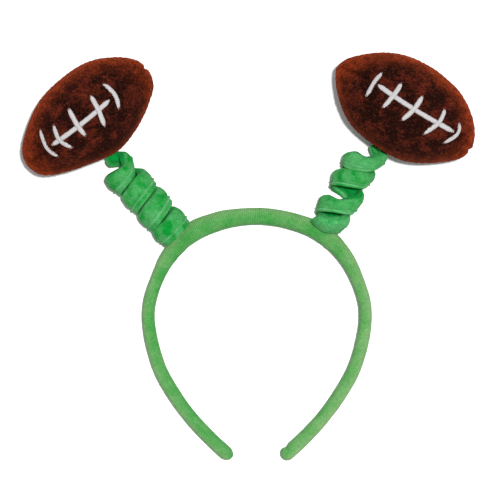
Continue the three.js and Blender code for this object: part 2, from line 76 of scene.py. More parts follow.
# Ball sizes
BALL_LENGTH = 89.5 * MM
BALL_WIDTH = 56 * MM
BALL_THICKNESS = 48 * MM
BALL_FLATTENING = 1.6 * MM
PANEL_SEAM_DEPTH = 0.8 * MM
SEAM_GROOVE_DEPTH = 0.75 * MM
SEAM_GROOVE_REACH = 0.8 * MM
SEAM_SHADE_REACH = 1.3 * MM
PUCKER_HEIGHT = 0.2 * MM
PUCKER_PITCH = 3.1 * MM
PUCKER_REACH = 2.6 * MM
TIP_NOTCH_DEPTH = 1.1 * MM
TIP_NOTCH_REACH = 1.1 * MM
SLACK = 1.1 * MM  # how far inside its final size a panel starts before it is stuffed
STUFFING_REACH = 1.9 * MM  # the furthest that the stuffing may push a panel out
STUFFING_SCALE = 10  # the cloth is simulated at this many times its size, where its usual settings suit it
STUFFING_PRESSURE = 200
STUFFING_STEPS = 40

# Lacing sizes
STITCH_WIDTH = 3 * MM
STITCH_HEIGHT = 1.1 * MM
STITCH_TAPER = 0.3
THREAD_PITCH = 0.45 * MM
THREAD_TAPER = 4 * MM
THREAD_END = 0.45  # the thread's own width at the ends of a stitch, as a share
THREAD_ROUNDING = 0.8 * MM
THREAD_TWIST_DEPTH = 0.06 * MM
RINGS_PER_TWIST = 5
FRAY_DEPTH = 0.16 * MM
FRAY_SIZE = 1.6 * MM

CLEARANCE = 0.3 * MM

CrownRow = namedtuple("CrownRow", "out up")
LegRow = namedtuple("LegRow", "inward down")
PaddingRow = namedtuple("PaddingRow", "along fullness")
TentRow = namedtuple("TentRow", "from_seat rise reach")
SectionRow = namedtuple("SectionRow", "across out")
CoilRow = namedtuple("CoilRow", "turn along radius width tilt")
BallRow = namedtuple("BallRow", "at up down")
Stitch = namedtuple("Stitch", "start_at start_across mid_at mid_across end_at end_across")
BumpLayer = namedtuple("BumpLayer", "height size seed")
Arm = namedtuple(
    "Arm",
    "name side seat lean tents length coil_rows ball_turn ball_seat ball_size tip_pucker"
    " ball_rows spine crosses",
)

CROWN_ROWS = [
    CrownRow(0, 1),
    CrownRow(0.522, 0.862),
    CrownRow(0.797, 0.609),
    CrownRow(0.965, 0.258),
    CrownRow(1, 0),
]
LEG_ROWS = [
    LegRow(0.124, 0.338),
    LegRow(0.325, 0.559),
    LegRow(0.523, 0.718),
    LegRow(0.776, 0.88),
    LegRow(1, 1),
]
PADDING_ROWS = [
    PaddingRow(0, 1),
    PaddingRow(0.2, 0.95),
    PaddingRow(0.3, 0.6),
    PaddingRow(0.38, -0.05),
    PaddingRow(0.45, -0.15),
    PaddingRow(0.6, 0.05),
    PaddingRow(0.9, 0.15),
    PaddingRow(1, 0.25),
]

# How the cover is drawn up round each spring's seat, in millimetres.
LEFT_TENTS = [TentRow(0, 1.1, 11), TentRow(10, 1.4, 6.5), TentRow(22, 1.3, 10)]
RIGHT_TENTS = [TentRow(0, 1.1, 11)]

# The flattened sleeve's section, round from its upper edge (across 1) over its outer face to its lower
# edge (across -1) and back. The wire raises a ridge above a thin hem, which laps over the turn below.
SLEEVE_SECTION = [
    SectionRow(1, -0.95),
    SectionRow(0.97, -0.35),
    SectionRow(0.88, 0.25),
    SectionRow(0.7, 0.68),
    SectionRow(0.35, 0.96),
    SectionRow(-0.15, 0.98),
    SectionRow(-0.42, 0.76),
    SectionRow(-0.52, 1.04),
    SectionRow(-0.62, 0.7),
    SectionRow(-0.98, 0.6),
    SectionRow(-1, 0.2),
    SectionRow(-0.5, -0.1),
    SectionRow(-0.1, -0.8),
    SectionRow(0.5, -1),
    SectionRow(0.9, -1.3),
]
LEFT_COIL_ROWS = [
    CoilRow(-0.3, 0.045, 0.94, 0.5, 0),
    CoilRow(0, 0.075, 0.93, 0.85, -4),
    CoilRow(0.25, 0.08, 0.97, 0.9, 6),
    CoilRow(0.5, 0.112, 1.03, 0.9, 2),
    CoilRow(0.75, 0.185, 0.97, 1, 0),
    CoilRow(1, 0.266, 0.93, 1, -4),
    CoilRow(1.25, 0.313, 0.98, 0.98, 8),
    CoilRow(1.5, 0.367, 1.04, 0.86, 2),
    CoilRow(1.75, 0.435, 1, 1, 0),
    CoilRow(2, 0.505, 0.96, 0.98, -4),
    CoilRow(2.25, 0.554, 0.99, 0.98, 8),
    CoilRow(2.5, 0.596, 1.02, 0.86, 2),
    CoilRow(2.75, 0.675, 1, 1, 0),
    CoilRow(3, 0.748, 1.02, 0.95, -6),
    CoilRow(3.25, 0.762, 0.96, 0.74, 4),
    CoilRow(3.38, 0.8, 0.8, 0.5, 0),
    CoilRow(3.5, 0.87, 0.88, 0.5, 0),
    CoilRow(3.62, 0.9, 0.76, 0.72, 0),
    CoilRow(3.72, 0.945, 0.5, 0.72, 0),
    CoilRow(3.82, 0.99, 0.15, 0.55, 0),
]
RIGHT_COIL_ROWS = [
    CoilRow(-0.1, -0.03, 0.98, 0.15, -40),
    CoilRow(0, -0.02, 0.98, 0.28, -45),
    CoilRow(0.12, 0.0, 0.8, 0.55, -48),
    CoilRow(0.25, 0.015, 0.66, 0.72, -46),
    CoilRow(0.38, 0.055, 0.72, 0.78, -30),
    CoilRow(0.5, 0.1, 0.84, 0.82, -6),
    CoilRow(0.75, 0.125, 0.93, 0.85, 0),
    CoilRow(1, 0.18, 1.07, 0.82, -8),
    CoilRow(1.25, 0.255, 0.97, 0.62, 6),
    CoilRow(1.5, 0.355, 0.96, 0.8, -6),
    CoilRow(1.75, 0.455, 0.93, 0.92, 0),
    CoilRow(1.88, 0.473, 0.98, 0.94, 4),
    CoilRow(2, 0.49, 1.08, 0.76, -8),
    CoilRow(2.12, 0.54, 1, 0.8, -2),
    CoilRow(2.25, 0.585, 0.93, 0.76, 4),
    CoilRow(2.5, 0.645, 0.9, 0.68, -6),
    CoilRow(2.75, 0.68, 0.95, 0.92, 0),
    CoilRow(3, 0.72, 1.08, 0.62, -10),
    CoilRow(3.12, 0.74, 1.02, 0.78, -4),
    CoilRow(3.25, 0.765, 1, 0.66, 2),
    CoilRow(3.38, 0.828, 0.98, 0.54, 0),
    CoilRow(3.5, 0.91, 1.03, 0.5, 0),
    CoilRow(3.65, 0.932, 0.72, 0.5, 0),
    CoilRow(3.76, 0.975, 0.42, 0.48, 0),
]
LEFT_BALL_ROWS = [
    BallRow(-1, 0, 0),
    BallRow(-0.95, 0.27, 0.34),
    BallRow(-0.8, 0.51, 0.54),
    BallRow(-0.55, 0.76, 0.73),
    BallRow(-0.3, 0.91, 0.86),
    BallRow(0, 0.97, 1),
    BallRow(0.3, 0.94, 0.93),
    BallRow(0.55, 0.82, 0.79),
    BallRow(0.8, 0.54, 0.57),
    BallRow(0.95, 0.28, 0.35),
    BallRow(1, 0, 0),
]
RIGHT_BALL_ROWS = [
    BallRow(-1, 0, 0),
    BallRow(-0.95, 0.27, 0.2),
    BallRow(-0.8, 0.51, 0.51),
    BallRow(-0.55, 0.8, 0.83),
    BallRow(-0.3, 0.96, 0.95),
    BallRow(0, 1.01, 1.01),
    BallRow(0.3, 0.95, 0.98),
    BallRow(0.55, 0.84, 0.81),
    BallRow(0.8, 0.56, 0.54),
    BallRow(0.95, 0.24, 0.31),
    BallRow(1, 0, 0),
]
LEFT_SPINE = Stitch(-0.6, -0.02, -0.1, -0.075, 0.37, -0.06)
LEFT_CROSSES = [
    Stitch(-0.565, 0.4, -0.645, 0.03, -0.61, -0.3),
    Stitch(-0.39, 0.3, -0.455, -0.03, -0.395, -0.35),
    Stitch(-0.115, 0.355, -0.16, 0, -0.173, -0.34),
    Stitch(0.207, 0.27, 0.165, -0.06, 0.09, -0.44),
    Stitch(0.418, 0.3, 0.45, -0.02, 0.37, -0.345),
]
RIGHT_SPINE = Stitch(-0.455, 0.11, 0.1, 0.05, 0.7, 0.07)
RIGHT_CROSSES = [
    Stitch(-0.475, 0.375, -0.487, 0.097, -0.498, -0.24),
    Stitch(-0.202, 0.385, -0.198, 0.093, -0.25, -0.268),
    Stitch(0.115, 0.39, 0.104, 0.05, 0.036, -0.293),
    Stitch(0.433, 0.38, 0.455, 0.1, 0.362, -0.314),
    Stitch(0.68, 0.3, 0.722, 0.05, 0.635, -0.254),
]
ARMS = [
    Arm(
        name="left",
        side=-1,
        seat=0.235,
        lean=0,
        tents=LEFT_TENTS,
        length=LEFT_COIL_LENGTH,
        coil_rows=LEFT_COIL_ROWS,
        ball_turn=39.5,
        ball_seat=-0.117,
        ball_size=1,
        tip_pucker=0,
        ball_rows=LEFT_BALL_ROWS,
        spine=LEFT_SPINE,
        crosses=LEFT_CROSSES,
    ),
    Arm(
        name="right",
        side=1,
        seat=0.202,
        lean=4.6,
        tents=RIGHT_TENTS,
        length=RIGHT_COIL_LENGTH,
        coil_rows=RIGHT_COIL_ROWS,
        ball_turn=-30.5,
        ball_seat=-0.11,
        ball_size=1.02,
        tip_pucker=-0.075,
        ball_rows=RIGHT_BALL_ROWS,
        spine=RIGHT_SPINE,
        crosses=RIGHT_CROSSES,
    ),
]

# The covers' lumps, coarse and fine
BAND_LUMPS = [BumpLayer(0.22 * MM, 17 * MM, 1), BumpLayer(0.08 * MM, 4 * MM, 2)]
BALL_LUMPS = [BumpLayer(0.35 * MM, 20 * MM, 0), BumpLayer(0.16 * MM, 7 * MM, 4)]
PLUSH_TUFTS = [BumpLayer(0.16 * MM, 1.5 * MM, 20), BumpLayer(0.12 * MM, 0.8 * MM, 21)]

# Where the wire's ridge and the right sleeve's lower lip run across the sleeve
RIDGE_PLACE = -0.52
LIP_PLACE = -0.76
RIDGE_REACH = 0.08

UP = np.array([0, 0, 1.0])

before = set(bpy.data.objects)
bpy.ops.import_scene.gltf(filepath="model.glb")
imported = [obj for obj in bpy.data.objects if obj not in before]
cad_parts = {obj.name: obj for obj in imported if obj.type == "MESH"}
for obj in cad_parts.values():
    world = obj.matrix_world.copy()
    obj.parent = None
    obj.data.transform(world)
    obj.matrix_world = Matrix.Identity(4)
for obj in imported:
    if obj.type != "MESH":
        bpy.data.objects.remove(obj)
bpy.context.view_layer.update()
band_low, band_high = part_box("headband")

# The middle of the head opening at its widest level, which the band's own sizes count from.
BAND_MIDDLE = np.array(
    [(band_low.x + band_high.x) / 2, band_high.y - BAND_CROWN_RISE - BAND_CROWN_THICKNESS, 0]
)


# Curves and noise


def table_value(rows, place_name, value_name, places, scale=lambda place: place):
    """A column of a table at places between its rows, on a smooth curve through them."""
    x = scale(np.array([getattr(row, place_name) for row in rows], float))
    y = np.array([getattr(row, value_name) for row in rows], float)
    slope = np.empty_like(y)
    slope[1:-1] = (y[2:] - y[:-2]) / (x[2:] - x[:-2])
    slope[0] = (y[1] - y[0]) / (x[1] - x[0])
    slope[-1] = (y[-1] - y[-2]) / (x[-1] - x[-2])
    place = np.clip(scale(np.asarray(places, float)), x[0], x[-1])
    i = np.clip(np.searchsorted(x, place) - 1, 0, len(x) - 2)
    span = x[i + 1] - x[i]
    t = (place - x[i]) / span
    return (
        y[i] * (1 + 2 * t) * (1 - t) ** 2
        + slope[i] * span * t * (1 - t) ** 2
        + y[i + 1] * t * t * (3 - 2 * t)
        + slope[i + 1] * span * t * t * (t - 1)
    )


def smooth_line(points, steps):
    """A centripetal Catmull-Rom curve through points, with a number of steps between each two."""
    points = np.asarray(points, float)
    padded = np.vstack([2 * points[0] - points[1], points, 2 * points[-1] - points[-2]])
    t = np.linspace(0, 1, steps, endpoint=False)[:, None]
    pieces = []
    for before, start, end, after in zip(padded, padded[1:], padded[2:], padded[3:]):
        gaps = [np.linalg.norm(b - a) ** 0.5 for a, b in ((before, start), (start, end), (end, after))]
        leave = (start - before) / gaps[0] - (end - before) / (gaps[0] + gaps[1]) + (end - start) / gaps[1]
        arrive = (end - start) / gaps[1] - (after - start) / (gaps[1] + gaps[2]) + (after - end) / gaps[2]
        pieces.append(
            start * (1 + 2 * t) * (1 - t) ** 2
            + leave * gaps[1] * t * (1 - t) ** 2
            + end * t * t * (3 - 2 * t)
            + arrive * gaps[1] * t * t * (t - 1)
        )
    return np.vstack([*pieces, points[-1:]])


def unit(vectors):
    return vectors / np.linalg.norm(vectors, axis=-1, keepdims=True)


def smoothstep(low, high, x):
    t = np.clip((x - low) / (high - low), 0, 1)
    return t * t * (3 - 2 * t)


def bumps(points, size, seed):
    """Smooth noise from -1 to 1 at each point, in lumps of about that size."""
    offset = Vector((17.3 * seed, -9.1 * seed, 5.7 * seed))
    return np.array([noise.noise(Vector(p) / size + offset) for p in points])


def relief(points, layers, seed=0):
    """The height of several layers of bumps at each point."""
    return sum(layer.height * bumps(points, layer.size, seed + layer.seed) for layer in layers)


def bell(offset, reach):
    """1 where the offset is 0, falling smoothly to 0 on both sides of it."""
    return np.exp(-((offset / reach) ** 2))


# Meshes


def mesh_piece(name, points, faces):
    mesh = bpy.data.meshes.new(name)
    mesh.from_pydata(points, [], faces)
    mesh.shade_smooth()
    piece = bpy.data.objects.new(name, mesh)
    bpy.context.scene.collection.objects.link(piece)
    return piece


def loft_faces(rows, sides):
    """Faces of a closed body through rings of equally many points, with one middle point at each end."""
    i, j = np.meshgrid(np.arange(rows - 1), np.arange(sides), indexing="ij")
    k = (j + 1) % sides
    quads = np.stack([i * sides + j, i * sides + k, (i + 1) * sides + k, (i + 1) * sides + j], -1)
    first, last = rows * sides, rows * sides + 1
    end_ring = (rows - 1) * sides
    caps = [(first, (j + 1) % sides, j) for j in range(sides)]
    caps += [(last, end_ring + j, end_ring + (j + 1) % sides) for j in range(sides)]
    return quads.reshape(-1, 4).tolist() + caps


def loft(name, rings, ends=None):
    """A closed body through rings, an array of ring by side by three. ends are its first and last points."""
    rows, sides = rings.shape[:2]
    if ends is None:
        ends = rings[[0, -1]].mean(axis=1)
    points = np.vstack([rings.reshape(-1, 3), ends])
    return mesh_piece(name, points.tolist(), loft_faces(rows, sides))


def points_of(piece):
    co = np.empty(len(piece.data.vertices) * 3)
    piece.data.vertices.foreach_get("co", co)
    return co.reshape(-1, 3)


def normals_of(piece):
    normal = np.empty(len(piece.data.vertices) * 3, np.float32)
    piece.data.vertex_normals.foreach_get("vector", normal)
    return normal.reshape(-1, 3).astype(float)


def move_points(piece, points):
    piece.data.vertices.foreach_set("co", points.astype(np.float32).ravel())
    piece.data.update()


def write_value(piece, name, values):
    """A number at each of a piece's points, for its material to read."""
    attribute = piece.data.attributes.new(name, "FLOAT", "POINT")
    attribute.data.foreach_set("value", np.asarray(values, np.float32))


def surface_of(piece):
    return BVHTree.FromObject(piece, bpy.context.evaluated_depsgraph_get())


# Headband


def band_line():
    """The band's inner face seen from the front, from the left tip over the crown to the right tip."""
    half = [(row.out * BAND_INNER_HALF_WIDTH, row.up * BAND_CROWN_RISE) for row in CROWN_ROWS]
    for row in LEG_ROWS:
        x = BAND_INNER_HALF_WIDTH + row.inward * (BAND_TIP_HALF_GAP - BAND_INNER_HALF_WIDTH)
        half.append((x, -row.down * BAND_TIP_DROP))
    left = [(-x, y) for x, y in reversed(half[1:])]
    flat = smooth_line(left + half, 40)
    return np.column_stack([flat, np.zeros(len(flat))])


BAND_LINE = band_line()
BAND_TANGENTS = unit(np.gradient(BAND_LINE, axis=0))
BAND_DISTANCES = np.append(0, np.cumsum(np.linalg.norm(np.diff(BAND_LINE, axis=0), axis=1)))
BAND_LENGTH = BAND_DISTANCES[-1]


def seat_place(arm):
    """Where along the band, from 0 at its left tip to 1 at its right, an arm's spring stands."""
    return 0.5 + arm.side * arm.seat / 2


def band_at(places):
    """The band at places along it: its inner face's middle, the direction away from the head, and its
    thickness and depth."""
    places = np.asarray(places, float)
    distances = places * BAND_LENGTH
    inner = np.stack([np.interp(distances, BAND_DISTANCES, BAND_LINE[:, k]) for k in range(3)], -1)
    x, y = [np.interp(distances, BAND_DISTANCES, BAND_TANGENTS[:, k]) for k in range(2)]
    outward = unit(np.stack([-y, x, np.zeros_like(x)], -1))
    along = np.abs(2 * places - 1)
    fullness = table_value(PADDING_ROWS, "along", "fullness", along)
    rise = 0
    for arm in ARMS:
        from_seat = (places - seat_place(arm)) * BAND_LENGTH / MM
        for tent in arm.tents:
            rise = rise + tent.rise * MM * bell(from_seat - tent.from_seat, tent.reach)
    thickness = BAND_LEG_THICKNESS + fullness * (BAND_CROWN_THICKNESS - BAND_LEG_THICKNESS) + rise
    depth = BAND_CROWN_DEPTH + along * (BAND_TIP_DEPTH - BAND_CROWN_DEPTH)
    return inner + BAND_MIDDLE, outward, thickness, depth


def make_band():
    rows, sides, tip_rows = 860, 56, 14
    bend = np.linspace(0.04, 1, tip_rows, endpoint=False) * math.pi / 2
    tip = BAND_TIP_ROUNDING * (1 - np.cos(bend))
    inwards = tip / BAND_TIP_ROUNDING
    # The left tip is more pointed than a half round.
    pointed = 0.22 + 0.78 * (0.45 * inwards**0.85 + 0.55 * np.sqrt(1 - (1 - inwards) ** 2))
    middle = np.linspace(BAND_TIP_ROUNDING, BAND_LENGTH - BAND_TIP_ROUNDING, rows)
    distance = np.concatenate([tip, middle, BAND_LENGTH - tip[::-1]])
    share = np.concatenate([pointed, np.ones(rows), np.sin(bend[::-1])])

    inner, outward, thickness, depth = band_at(distance / BAND_LENGTH)
    angle = 2 * math.pi * (np.arange(sides) + 0.5) / sides
    roundness = 2 / BAND_SQUARENESS
    out = np.sign(np.cos(angle)) * np.abs(np.cos(angle)) ** roundness
    up = np.sign(np.sin(angle)) * np.abs(np.sin(angle)) ** roundness
    half_thick = (thickness / 2)[:, None]
    half_deep = (depth / 2)[:, None]
    outwards = half_thick + out * half_thick * share[:, None]
    upwards = half_deep + up * half_deep * share[:, None]
    rings = inner[:, None] + outwards[..., None] * outward[:, None] + upwards[..., None] * UP
    piece = loft("velour_headband", rings)

    points = points_of(piece)
    normals = normals_of(piece)
    end_rows = [0, -1]
    along = np.append(np.repeat(distance, sides), distance[end_rows])
    outer = np.append(np.tile(out, len(distance)), [0, 0])
    lumps = relief(points, BAND_LUMPS)
    from_seats = [((along / BAND_LENGTH) - seat_place(arm)) * BAND_LENGTH for arm in ARMS]
    pull = sum(bell(from_seat, SEAT_FOLD_REACH) for from_seat in from_seats)
    folds = SEAT_FOLD_HEIGHT * pull * bumps(points * [1, 1, 0.4], 3.2 * MM, 3)
    from_right = BAND_LENGTH - along
    inner_side = smoothstep(0.3, -0.9, outer)
    notch = -BAND_NOTCH_DEPTH * inner_side * bell(from_right - BAND_NOTCH_FROM_TIP, BAND_NOTCH_REACH)
    points = points + normals * (lumps + folds + notch)[:, None]
    points[:, 2] = np.maximum(points[:, 2], 0)
    move_points(piece, points)
    write_value(piece, "rib_place", along)
    from_crown = np.abs(2 * along / BAND_LENGTH - 1)
    write_value(piece, "ribbing", 1 - 0.6 * smoothstep(0.25, 0.6, from_crown))
    # Paler towards the band's outer side, a painted sheen, and paler on the right leg.
    outer_side = smoothstep(-0.1, 0.95, outer)
    right_leg = smoothstep(0.58, 0.72, along / BAND_LENGTH)
    write_value(piece, "paler", 0.65 * outer_side + 0.35 * right_leg)
    return piece


# Springs

COIL_RADIUS = (COIL_OUTER_DIAMETER - SLEEVE_THICKNESS) / 2
COIL_BASE_HEIGHT = COIL_OUTER_DIAMETER / 2 + CLEARANCE


def turned(vector, degrees):
    """A level vector turned anticlockwise, as seen from above."""
    c, s = math.cos(math.radians(degrees)), math.sin(math.radians(degrees))
    return np.array([c * vector[0] - s * vector[1], s * vector[0] + c * vector[1], 0])


def coil_frame(arm):
    """Where the coil's axis starts and ends, and the directions along it, to its right and to its front."""
    inner, outward, thickness, _ = band_at(seat_place(arm))
    base = inner + outward * thickness
    base[2] = COIL_BASE_HEIGHT
    heading = turned(outward, arm.lean)
    top = base + heading * arm.length
    top[2] = COIL_TOP_HEIGHT
    right = np.array([heading[1], -heading[0], 0])
    front = unit(np.cross(right, top - base))
    return base, top, right, front


def sleeve_section(sides):
    """The flattened sleeve's section as a smooth closed line: across and out shares."""
    rows = np.array([(row.across, row.out) for row in SLEEVE_SECTION])
    looped = np.vstack([rows[-2:], rows, rows[:3]])
    fine = smooth_line(looped, 30)[2 * 30 : -2 * 30]
    distance = np.append(0, np.cumsum(np.linalg.norm(np.diff(fine, axis=0), axis=1)))
    even = np.linspace(0, distance[-1], sides, endpoint=False)
    return np.stack([np.interp(even, distance, fine[:, k]) for k in range(2)], -1)


def sleeve_rings(arm, turns, section):
    """The sleeve's section at each of those turns of the coil."""

    def column(name):
        return table_value(arm.coil_rows, "turn", name, turns)

    base, top, right, front = coil_frame(arm)
    angle = math.pi * (1 - 2 * turns)[:, None]
    radial = right * np.cos(angle) + front * np.sin(angle)
    radius = COIL_RADIUS * column("radius")[:, None]
    centre = base + (top - base) * column("along")[:, None] + radial * radius
    tangent = unit(np.gradient(centre, axis=0))
    level = unit(np.cross(radial, tangent))
    outward = np.cross(tangent, level)
    tilt = np.radians(column("tilt"))[:, None]
    across = level * np.cos(tilt) - outward * np.sin(tilt)
    out = outward * np.cos(tilt) + level * np.sin(tilt)
    width = (SLEEVE_WIDTH / 2) * column("width")
    from_end = np.minimum(turns - turns[0], turns[-1] - turns)
    closing = np.sqrt(np.clip(from_end / SLEEVE_CLOSING, 0.02, 1))
    acrosses = (section[:, 0] * (width * closing)[:, None])[..., None] * across[:, None]
    outs = (section[:, 1] * (SLEEVE_THICKNESS / 2 * closing)[:, None])[..., None] * out[:, None]
    return centre[:, None] + acrosses + outs


def make_spring(arm, neighbours):
    """neighbours are the surfaces that the sleeve's ends are sewn into."""
    rows, sides = 620, 60
    turns = np.linspace(arm.coil_rows[0].turn, arm.coil_rows[-1].turn, rows)
    section = sleeve_section(sides)
    piece = loft(f"{arm.name}_spring_sleeve", sleeve_rings(arm, turns, section))
    place = np.append(np.tile(section[:, 0], rows), [0, 0])
    outside = np.append(np.tile(section[:, 1], rows), [0, 0])
    turn = np.append(np.repeat(turns, sides), [turns[0], turns[-1]])
    # The right spring's foot is sewn down flat: its cover hides the wire there and is pleated.
    foot = smoothstep(0.75, 0.45, turn) if arm.side > 0 else np.zeros(len(turn))
    seed = 5 + arm.side
    waver = 0.04 * bumps(points_of(piece), 9 * MM, seed)
    ridge = bell(place - RIDGE_PLACE + waver, RIDGE_REACH) * (outside > 0)
    points = wrinkle_sleeve(piece, seed, place, outside, turn, foot, ridge)

    # The wire's ridge is painted paler: partly the pile's own paler nap, partly a painted highlight where it
    # catches light. The right spring's foot gets a painted highlight that lifts its steep, shaded faces.
    nap_and_highlight = (0.8 if arm.side < 0 else 0.5) + 0.9 * bumps(points, 6 * MM, seed + 9)
    nap_and_highlight = np.maximum(ridge * (1 - foot) * np.clip(nap_and_highlight, 0, 1), 0.3 * foot)
    # Painted shade: the sleeve's face towards the coil's inside is darker green, where shade falls.
    inside = smoothstep(0.3, -0.3, outside)
    # Deeper green in random patches, and as painted shade on each turn's left side, away from the key light;
    # the right sleeve's top turns are made less deep.
    leftward = 0.5 + 0.5 * np.cos(2 * math.pi * turn)
    deeper = 0.2 + 0.5 * leftward * smoothstep(-0.3, 0.4, place) + 1.4 * bumps(points, 7 * MM, seed + 12)
    if arm.side > 0:
        # The right sleeve's lower lip is painted pale, a painted highlight that lifts the shade on its hem,
        # and its top turns are painted a little paler.
        below_top = smoothstep(2.7, 2.4, turn)
        lip = bell(place - LIP_PLACE + waver, RIDGE_REACH) * (1 - foot) * below_top
        nap_and_highlight = np.maximum(nap_and_highlight, 0.9 * lip * (outside > -0.2))
        nap_and_highlight = np.maximum(nap_and_highlight, 0.2 * smoothstep(2.8, 3.05, turn))
        # Painted shade in the hollow by the right spring's foot.
        foot_hollow = bell(turn - 0.24, 0.07) * smoothstep(0.25, 0.75, place)
        inside = np.maximum(inside, foot_hollow)
        deeper = deeper - 0.5 * smoothstep(2.75, 3.1, turn)
    # Painted highlight: each turn's rolled upper edge is paler, lifting the shade in the crease under the
    # next hem.
    rolled = smoothstep(0.45, 0.9, place) * (0.8 + 0.6 * bumps(points, 7 * MM, seed + 15))
    write_value(piece, "nap_and_highlight", nap_and_highlight)
    write_value(piece, "inside", inside)
    write_value(piece, "rolled", np.clip(rolled, 0, 1) * (1 - inside))
    write_value(piece, "deeper", np.clip(deeper, 0, 1))
    for surface in neighbours:
        cut_inside(piece, surface, SEWN_DEPTH)
    return piece


def wrinkle_sleeve(piece, seed, place, outside, turn, foot, ridge):
    """Puffs and wrinkles the cover over the wire, and pleats it at the foot. Returns the moved points."""
    points = points_of(piece)
    normals = normals_of(piece)
    body = smoothstep(-0.4, 0, place)
    puffs = PUFF_HEIGHT * body * bumps(points, PUFF_SIZE, seed)
    puffs = puffs + WRINKLE_HEIGHT * bumps(points, WRINKLE_SIZE, seed + 3)
    puffs = puffs - FOOT_RIDGE_SINKING * ridge * foot
    pleats = np.sin(2 * math.pi * (place + 0.3 * turn) / FOOT_PLEAT_PITCH)
    puffs = puffs + FOOT_PLEAT_HEIGHT * foot * pleats * (outside > 0)
    points = points + normals * puffs[:, None]
    points[:, 2] = np.maximum(points[:, 2], 0.2 * MM)
    move_points(piece, points)
    return points


def cut_inside(piece, surface, depth):
    """Removes what lies deeper than that inside another piece, where the sleeve is sewn into it."""
    deep = set()
    for i, point in enumerate(points_of(piece)):
        near, normal, _, distance = surface.find_nearest(Vector(point), 30 * MM)
        if near is not None and distance > depth and (Vector(point) - near).dot(normal) < 0:
            deep.add(i)
    mesh = bmesh.new()
    mesh.from_mesh(piece.data)
    mesh.verts.ensure_lookup_table()
    hidden = [face for face in mesh.faces if all(vert.index in deep for vert in face.verts)]
    bmesh.ops.delete(mesh, geom=hidden, context="FACES")
    mesh.to_mesh(piece.data)
    mesh.free()


# Balls


def round_ends(at):
    """Spreads places along a ball evenly round its ends."""
    return np.arccos(-np.clip(at, -1, 1))


def ball_shares(arm, at):
    """Half widths above and below the long axis, and the half thickness, as shares."""
    up = table_value(arm.ball_rows, "at", "up", at, round_ends)
    down = table_value(arm.ball_rows, "at", "down", at, round_ends)
    return up, down, (up + down) / 2


class BallFrame:
    """A ball's middle, its long and cross directions and its half sizes."""

    def __init__(self, arm):
        self.half_length = arm.ball_size * BALL_LENGTH / 2
        self.half_width = arm.ball_size * BALL_WIDTH / 2
        self.half_thickness = arm.ball_size * BALL_THICKNESS / 2
        self.long = turned([1, 0, 0], arm.ball_turn)
        self.cross = np.cross(UP, self.long)
        height = self.half_thickness - BALL_FLATTENING
        _, down, thick = ball_shares(arm, arm.ball_seat)
        sine = (height - COIL_TOP_HEIGHT) / (thick * self.half_thickness)
        reach = down * self.half_width * math.sqrt(1 - sine**2)
        coil_top = coil_frame(arm)[1]
        self.middle = coil_top - self.long * arm.ball_seat * self.half_length + self.cross * reach
        self.middle[2] = height


def seam_across(arm, at):
    """How far to the side the front seam runs, as a share of the half width: it runs under the lacing."""
    spine = arm.spine
    places = [spine.start_at, spine.mid_at, spine.end_at]
    acrosses = [spine.start_across, spine.mid_across, spine.end_across]
    return np.interp(at, places, acrosses) * (1 - np.abs(at) ** 8)


def make_ball(arm):
    """The sewn cover of four panels, stuffed. Returns it and its surface as it is without its seams."""
    ball = BallFrame(arm)
    rows, sides = 56, 72
    at = -np.cos(np.linspace(0, math.pi, rows + 1)[1:-1])
    up, down, thick = [share[:, None] for share in ball_shares(arm, at)]
    angle = 2 * math.pi * np.arange(sides) / sides
    aside = np.arcsin(np.clip(seam_across(arm, at)[:, None] / thick, -0.5, 0.5))
    angle = angle - aside * np.clip(np.sin(angle), 0, 1)
    seam_column = np.arange(sides) % (sides // 4) == 0
    inset = np.where(seam_column, PANEL_SEAM_DEPTH, SLACK) * np.minimum(1, 2 * thick)
    half_width = np.where(np.cos(angle) > 0, up, down) * ball.half_width - inset
    crosses = (half_width * np.cos(angle))[..., None] * ball.cross
    heights = ((thick * ball.half_thickness - inset) * np.sin(angle))[..., None] * UP
    rings = ball.middle + (at * ball.half_length)[:, None, None] * ball.long + crosses + heights
    ends = ball.middle + np.outer([-1, 1], ball.long) * ball.half_length
    piece = loft(f"{arm.name}_plush_ball", rings, ends)
    seams = np.append(np.tile(seam_column, rows - 1), [True, True])
    stuff(piece, np.flatnonzero(seams).tolist())

    subdivide(piece, 2)
    points = points_of(piece)
    normals = normals_of(piece)
    seed = 11 + arm.side
    move_points(piece, points + normals * relief(points, BALL_LUMPS, seed)[:, None])
    unsewn = surface_of(piece)

    points = points_of(piece)
    from_middle = points - ball.middle
    place = np.clip(from_middle @ ball.long / ball.half_length, -1, 1)
    aside = from_middle @ ball.cross
    height = from_middle[:, 2]
    fade = np.minimum(1, 2 * ball_shares(arm, place)[2])
    to_front = np.where(height > 0, np.abs(aside - seam_across(arm, place) * ball.half_width), 1)
    to_back = np.where(height < 0, np.abs(aside), 1)
    to_seam = np.minimum(np.abs(height), np.minimum(to_front, to_back))
    groove = -SEAM_GROOVE_DEPTH * fade * bell(to_seam, SEAM_GROOVE_REACH)
    wander = bumps(points, 9 * MM, seed + 7)
    ripples = np.cos(2 * math.pi * place * ball.half_length / PUCKER_PITCH + 3 * wander)
    puckers = PUCKER_HEIGHT * fade * np.exp(-to_seam / PUCKER_REACH) * ripples
    from_tip = aside - arm.tip_pucker * ball.half_width
    notch = -TIP_NOTCH_DEPTH * smoothstep(0.82, 0.95, place) * bell(from_tip, TIP_NOTCH_REACH)
    tufts = relief(points, PLUSH_TUFTS, seed)
    points = points + normals * (groove + puckers + notch + tufts)[:, None]
    points[:, 2] = np.maximum(points[:, 2], 0.02 * MM)
    move_points(piece, points)
    write_value(piece, "seam", bell(to_seam, SEAM_SHADE_REACH) * fade)
    # Painted sheen: the ball's sides are painted a paler reddish brown, more so on the side towards +Y as
    # painted light from the key light.
    edge = 1 - np.abs(height) / ball.half_thickness + 0.2 * aside / ball.half_width
    write_value(piece, "painted_rim_sheen", smoothstep(0.28, 0.9, edge))
    return piece, unsewn


